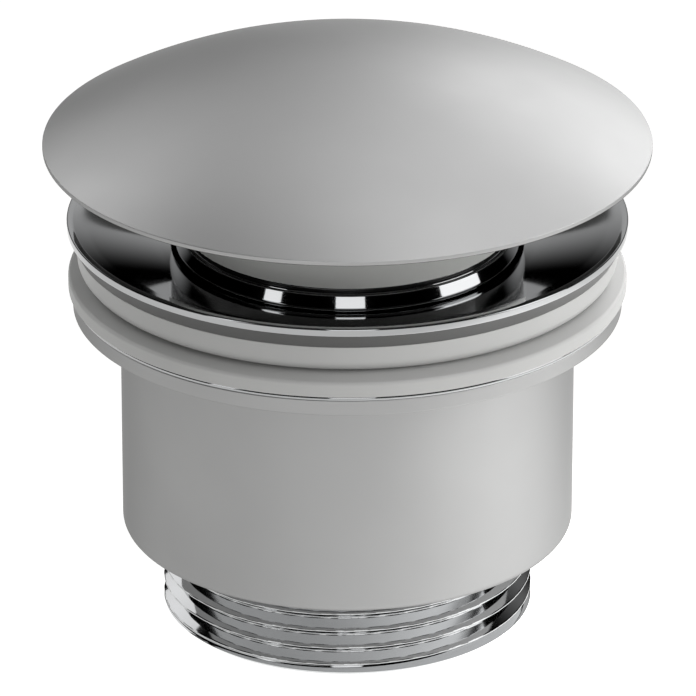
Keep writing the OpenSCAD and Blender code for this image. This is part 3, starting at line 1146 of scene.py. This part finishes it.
class Cartridge(Assembly):
    """Latch cartridge with its return spring."""

    sizes = SpringSizes()

    def build(self) -> None:
        """Builds the spring and dresses the rest of the cartridge."""
        self.build_spring()
        self.keep("latch_rotor", Slot.WHITE_ACETAL)
        self.keep("cam_sleeve", Slot.WHITE_ACETAL)
        self.keep("cartridge_housing", Slot.WHITE_ACETAL)
        self.keep("end_plug", Slot.DARK_ACETAL)

    def build_spring(self) -> None:
        """Winds a circle of wire up the axis and closes its ends."""
        s = self.sizes
        low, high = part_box("return_spring")
        foot, height = low.z, high.z - low.z
        wire_r = s.wire / 2 * MM
        bpy.ops.object.select_all(action="DESELECT")
        bpy.ops.mesh.primitive_circle_add(vertices=s.wire_sides, radius=wire_r)
        piece = bpy.context.object
        piece.name = "return_spring_coil"
        bpy.ops.object.mode_set(mode="EDIT")
        bpy.ops.mesh.select_all(action="SELECT")
        bpy.ops.transform.rotate(value=math.pi / 2, orient_axis="X", center_override=(0.0, 0.0, 0.0))
        bpy.ops.transform.translate(value=(s.outside / 2 * MM - wire_r, 0.0, foot + wire_r))
        bpy.ops.object.mode_set(mode="OBJECT")
        coil = piece.modifiers.new("coil", "SCREW")
        coil.axis, coil.angle, coil.iterations = "Z", math.tau, s.turns
        coil.screw_offset = (height - s.wire * MM) / s.turns
        coil.steps = coil.render_steps = s.turn_steps
        coil.use_merge_vertices = False
        bpy.ops.object.modifier_apply(modifier=coil.name)
        bpy.ops.object.mode_set(mode="EDIT")
        bpy.ops.mesh.select_mode(type="EDGE")
        bpy.ops.mesh.select_all(action="DESELECT")
        bpy.ops.mesh.select_non_manifold(extend=False)
        bpy.ops.mesh.edge_face_add()
        bpy.ops.mesh.fill_holes(sides=0)
        close_up(s.shade_deg)
        self.fit(piece, Body.WASTE, "return_spring", Slot.SPRING_STEEL)
        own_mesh(piece)


@dataclass(frozen=True)
class Softbox:
    """A studio light that faces the object.

    Attributes:
        name: Name of the light.
        azimuth: Degrees to the right of the camera's side.
        elevation: Degrees above the floor.
        distance: Metres from the object.
        size: Width and height in metres.
        glow: Radiance of its face.
        falls: Pieces that it falls on.
    """

    name: str
    azimuth: float
    elevation: float
    distance: float
    size: tuple[float, float]
    glow: float
    falls: Falls

    def build(self, target: Vector, rack: FinishRack) -> None:
        """Adds the light and flags it off the pieces that it is not meant for.

        Args:
            target: Point that it faces.
            rack: Finishes, which know the pieces that each light falls on.
        """
        data = bpy.data.lights.new(self.name, "AREA")
        data.shape = "RECTANGLE"
        data.size, data.size_y = self.size
        data.energy = math.pi * self.size[0] * self.size[1] * self.glow
        lamp = bpy.data.objects.new(self.name, data)
        bpy.context.scene.collection.objects.link(lamp)
        back = toward(self.azimuth, self.elevation)
        lamp.location = target + back * self.distance
        lamp.rotation_mode = "QUATERNION"
        lamp.rotation_quaternion = back.to_track_quat("Z", "Y")
        lit = bpy.data.collections.new(f"{self.name}_{self.falls.value}")
        for piece in rack.pieces(self.falls):
            lit.objects.link(piece)
        lamp.light_linking.receiver_collection = lit


@dataclass(frozen=True)
class SkyGlow:
    """A soft patch of light in the dark surround.

    Attributes:
        azimuth: Degrees to the right of the camera's side.
        elevation: Degrees above the floor.
        reach: Degrees from its middle to where it ends.
        core: Degrees from its middle to where it starts to fade.
        low: Height in degrees under which it is dark.
        high: Height in degrees over which it is not dimmed.
        glow: Radiance of its core.
    """

    azimuth: float
    elevation: float
    reach: float
    core: float
    low: float
    high: float
    glow: float

    def build(
        self, tree: bpy.types.NodeTree, way: bpy.types.NodeSocket, height: bpy.types.NodeSocket
    ) -> bpy.types.NodeSocket:
        """Adds the nodes of the patch.

        Args:
            tree: Node tree of the world.
            way: Direction that is looked along.
            height: Upward part of that direction.

        Returns:
            The patch's radiance.
        """
        middle = toward(self.azimuth, self.elevation)
        near = add_node(tree, "ShaderNodeVectorMath", {0: way, 1: middle}, operation="DOT_PRODUCT")
        patch = add_node(
            tree,
            "ShaderNodeMapRange",
            {
                "Value": near.outputs["Value"],
                "From Min": math.cos(math.radians(self.reach)),
                "From Max": math.cos(math.radians(self.core)),
                "To Max": self.glow,
            },
            interpolation_type="SMOOTHSTEP",
        )
        lift = add_node(
            tree,
            "ShaderNodeMapRange",
            {
                "Value": height,
                "From Min": math.sin(math.radians(self.low)),
                "From Max": math.sin(math.radians(self.high)),
            },
            interpolation_type="SMOOTHSTEP",
        )
        parts = {0: patch.outputs["Result"], 1: lift.outputs["Result"]}
        return add_node(tree, "ShaderNodeMath", parts, operation="MULTIPLY").outputs[0]


@dataclass(frozen=True)
class PaintedLightPool:
    """A painted pool of light, where the floor board glows stronger.

    Attributes:
        x_mm: Place across the view.
        y_mm: Place along the view, away from the camera.
        core_mm: Distance to where it starts to fade.
        reach_mm: Distance to where it ends.
        glow: Radiance that it adds.
    """

    x_mm: float
    y_mm: float
    core_mm: float
    reach_mm: float
    glow: float

    def build(self, tree: bpy.types.NodeTree, place: bpy.types.NodeSocket) -> bpy.types.NodeSocket:
        """Adds the nodes of the pool.

        Args:
            tree: Node tree of the floor.
            place: Place on the floor.

        Returns:
            The radiance that the pool adds.
        """
        middle = (self.x_mm * MM, self.y_mm * MM, 0.0)
        away = add_node(tree, "ShaderNodeVectorMath", {0: place, 1: middle}, operation="DISTANCE")
        pool = add_node(
            tree,
            "ShaderNodeMapRange",
            {
                "Value": away.outputs["Value"],
                "From Min": self.reach_mm * MM,
                "From Max": self.core_mm * MM,
                "To Max": self.glow,
            },
            interpolation_type="SMOOTHSTEP",
        )
        return pool.outputs["Result"]


class Studio:
    """Floor, lights and camera.

    Attributes:
        target: Point that the camera and the lights face, in metres.
        elevation: Degrees that the camera stands above the floor.
        distance: Metres from the camera to the target.
        lens: Focal length in millimetres.
        sensor: Width of the sensor in millimetres.
        clip: Nearest and farthest metres that the camera sees.
        floor_size: Width of the floor in metres.
        floor_cells: Faces along the floor.
        floor_drop: Metres that keep the floor off the end face of the tail.
        floor_tones: Two close colours of the floor board.
        floor_glow: Least and most radiance of the board.
        floor_rough: Roughness of the board.
        tooth_mm: Size of the change in the board's tone.
    """

    target = Vector((0.000062, 0.0, 0.03084))
    elevation = 24.36
    distance = 0.84735
    lens = 388.5
    sensor = 36.0
    clip = (0.05, 50.0)
    floor_size = 8.0
    floor_cells = 4
    floor_drop = 0.02 * MM
    floor_tones = ("#F6F6F5", "#F3F3F2")
    floor_glow = (0.98, 1.0)
    floor_rough = 0.8
    tooth_mm = 40.0
    # Name, azimuth, elevation, distance, width and height, radiance, and what the light falls on.
    boxes = (
        Softbox("front_strip", 2.0, 30.0, 1.3, (0.4, 1.0), 1.85, Falls.MIRRORS),
        Softbox("left_strip", -51.0, 28.0, 1.3, (0.25, 1.0), 1.85, Falls.MIRRORS),
        Softbox("right_strip", 80.5, 24.0, 1.2, (0.64, 1.0), 2.3, Falls.MIRRORS),
        Softbox("tail_strip", -140.0, 22.0, 1.2, (0.8, 0.6), 1.2, Falls.THREAD),
        Softbox("cap_key", 142.0, 18.0, 1.2, (1.3, 0.9), 3.9, Falls.MATT),
        Softbox("cap_fill", -125.0, 32.0, 1.2, (0.9, 0.7), 2.5, Falls.MATT),
        Softbox("cap_top", 110.0, 70.0, 1.2, (1.4, 0.9), 1.55, Falls.MATT),
        Softbox("side_key", 82.0, 12.0, 1.2, (0.5, 0.9), 6.5, Falls.MATT),
        Softbox("front_fill", 34.0, 44.0, 1.3, (0.9, 0.8), 3.2, Falls.MATT),
        Softbox("boss_fill", -12.0, 10.0, 1.3, (0.9, 0.5), 2.7, Falls.MATT),
    )
    glows = (
        SkyGlow(azimuth=0.0, elevation=90.0, reach=42.0, core=12.0, low=0.0, high=20.0, glow=0.32),
        SkyGlow(azimuth=180.0, elevation=36.0, reach=45.0, core=12.0, low=6.0, high=26.0, glow=0.7),
    )
    # A painted pool of light on the floor at the right of the object.
    painted_pools = (PaintedLightPool(x_mm=74.0, y_mm=-26.0, core_mm=25.0, reach_mm=100.0, glow=1.2),)

    def build(self, rack: FinishRack) -> None:
        """Builds the floor, the lights, the world and the camera.

        Args:
            rack: Finishes, which know the pieces that each light falls on.
        """
        self.build_floor()
        for box in self.boxes:
            box.build(self.target, rack)
        self.build_world()
        self.build_camera()

    def build_floor(self) -> None:
        """Lays a wide pale floor under the object, glowing evenly, with a painted pool of light added."""
        bpy.ops.object.select_all(action="DESELECT")
        bpy.ops.mesh.primitive_grid_add(
            x_subdivisions=self.floor_cells,
            y_subdivisions=self.floor_cells,
            size=self.floor_size,
            location=(0.0, 0.0, -self.floor_drop),
        )
        floor = bpy.context.object
        floor.name = "studio_floor"
        material = bpy.data.materials.new("opal_board_painted_pool")
        tree = empty_tree(material)
        place = add_node(tree, "ShaderNodeTexCoord").outputs["Object"]
        tooth = add_node(
            tree, "ShaderNodeTexNoise", {"Vector": place, "Scale": per_metre(self.tooth_mm)}
        ).outputs["Fac"]
        main, drift = (linear(tone) for tone in self.floor_tones)
        colour = add_node(tree, "ShaderNodeMix", {0: tooth, 6: main, 7: drift}, data_type="RGBA")
        least, most = self.floor_glow
        glow = add_node(tree, "ShaderNodeMapRange", {"Value": tooth, "To Min": least, "To Max": most})
        total = glow.outputs["Result"]
        # Painted pools of light add to the board's glow.
        for pool in self.painted_pools:
            parts = {0: total, 1: pool.build(tree, place)}
            total = add_node(tree, "ShaderNodeMath", parts, operation="ADD").outputs[0]
        shader = add_node(
            tree,
            "ShaderNodeBsdfPrincipled",
            {
                "Base Color": colour.outputs[2],
                "Roughness": self.floor_rough,
                "Emission Color": colour.outputs[2],
                "Emission Strength": total,
            },
        )
        add_node(tree, "ShaderNodeOutputMaterial", {"Surface": shader.outputs["BSDF"]})
        floor.data.materials.append(material)

    def build_world(self) -> None:
        """Sets a dark surround with soft patches, so that polished faces show lights against dark."""
        world = bpy.data.worlds.new("dim_studio")
        tree = empty_tree(world)
        way = add_node(tree, "ShaderNodeTexCoord").outputs["Generated"]
        height = add_node(tree, "ShaderNodeSeparateXYZ", {0: way}).outputs["Z"]
        total = self.glows[0].build(tree, way, height)
        for glow in self.glows[1:]:
            parts = {0: total, 1: glow.build(tree, way, height)}
            total = add_node(tree, "ShaderNodeMath", parts, operation="ADD").outputs[0]
        sky = add_node(tree, "ShaderNodeBackground", {"Color": linear("#FFFFFF"), "Strength": total})
        add_node(tree, "ShaderNodeOutputWorld", {"Surface": sky.outputs["Background"]})
        bpy.context.scene.world = world
        bpy.context.scene.view_settings.view_transform = "Standard"

    def build_camera(self) -> None:
        """Sets the camera to the photograph's view."""
        data = bpy.data.cameras.new("photo_camera")
        data.sensor_width, data.lens = self.sensor, self.lens
        data.clip_start, data.clip_end = self.clip
        camera = bpy.data.objects.new("photo_camera", data)
        bpy.context.scene.collection.objects.link(camera)
        back = toward(0.0, self.elevation)
        camera.location = self.target + back * self.distance
        camera.rotation_mode = "QUATERNION"
        camera.rotation_quaternion = (-back).to_track_quat("-Z", "Y")
        bpy.context.scene.camera = camera


def write_sizes() -> None:
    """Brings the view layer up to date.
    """
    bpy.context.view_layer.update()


def main() -> None:
    """Loads the frame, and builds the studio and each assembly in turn."""
    logging.basicConfig(level=logging.INFO, format="%(name)s: %(message)s")
    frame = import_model()
    rack = FinishRack(FINISHES)
    for assembly in (Outlet, Flange, Plug, Cartridge):
        assembly(rack, frame["nodes"]).build()
        log.info("finished %s", assembly.__name__)
    Studio().build(rack)
    write_sizes()


if __name__ == "__main__":
    main()
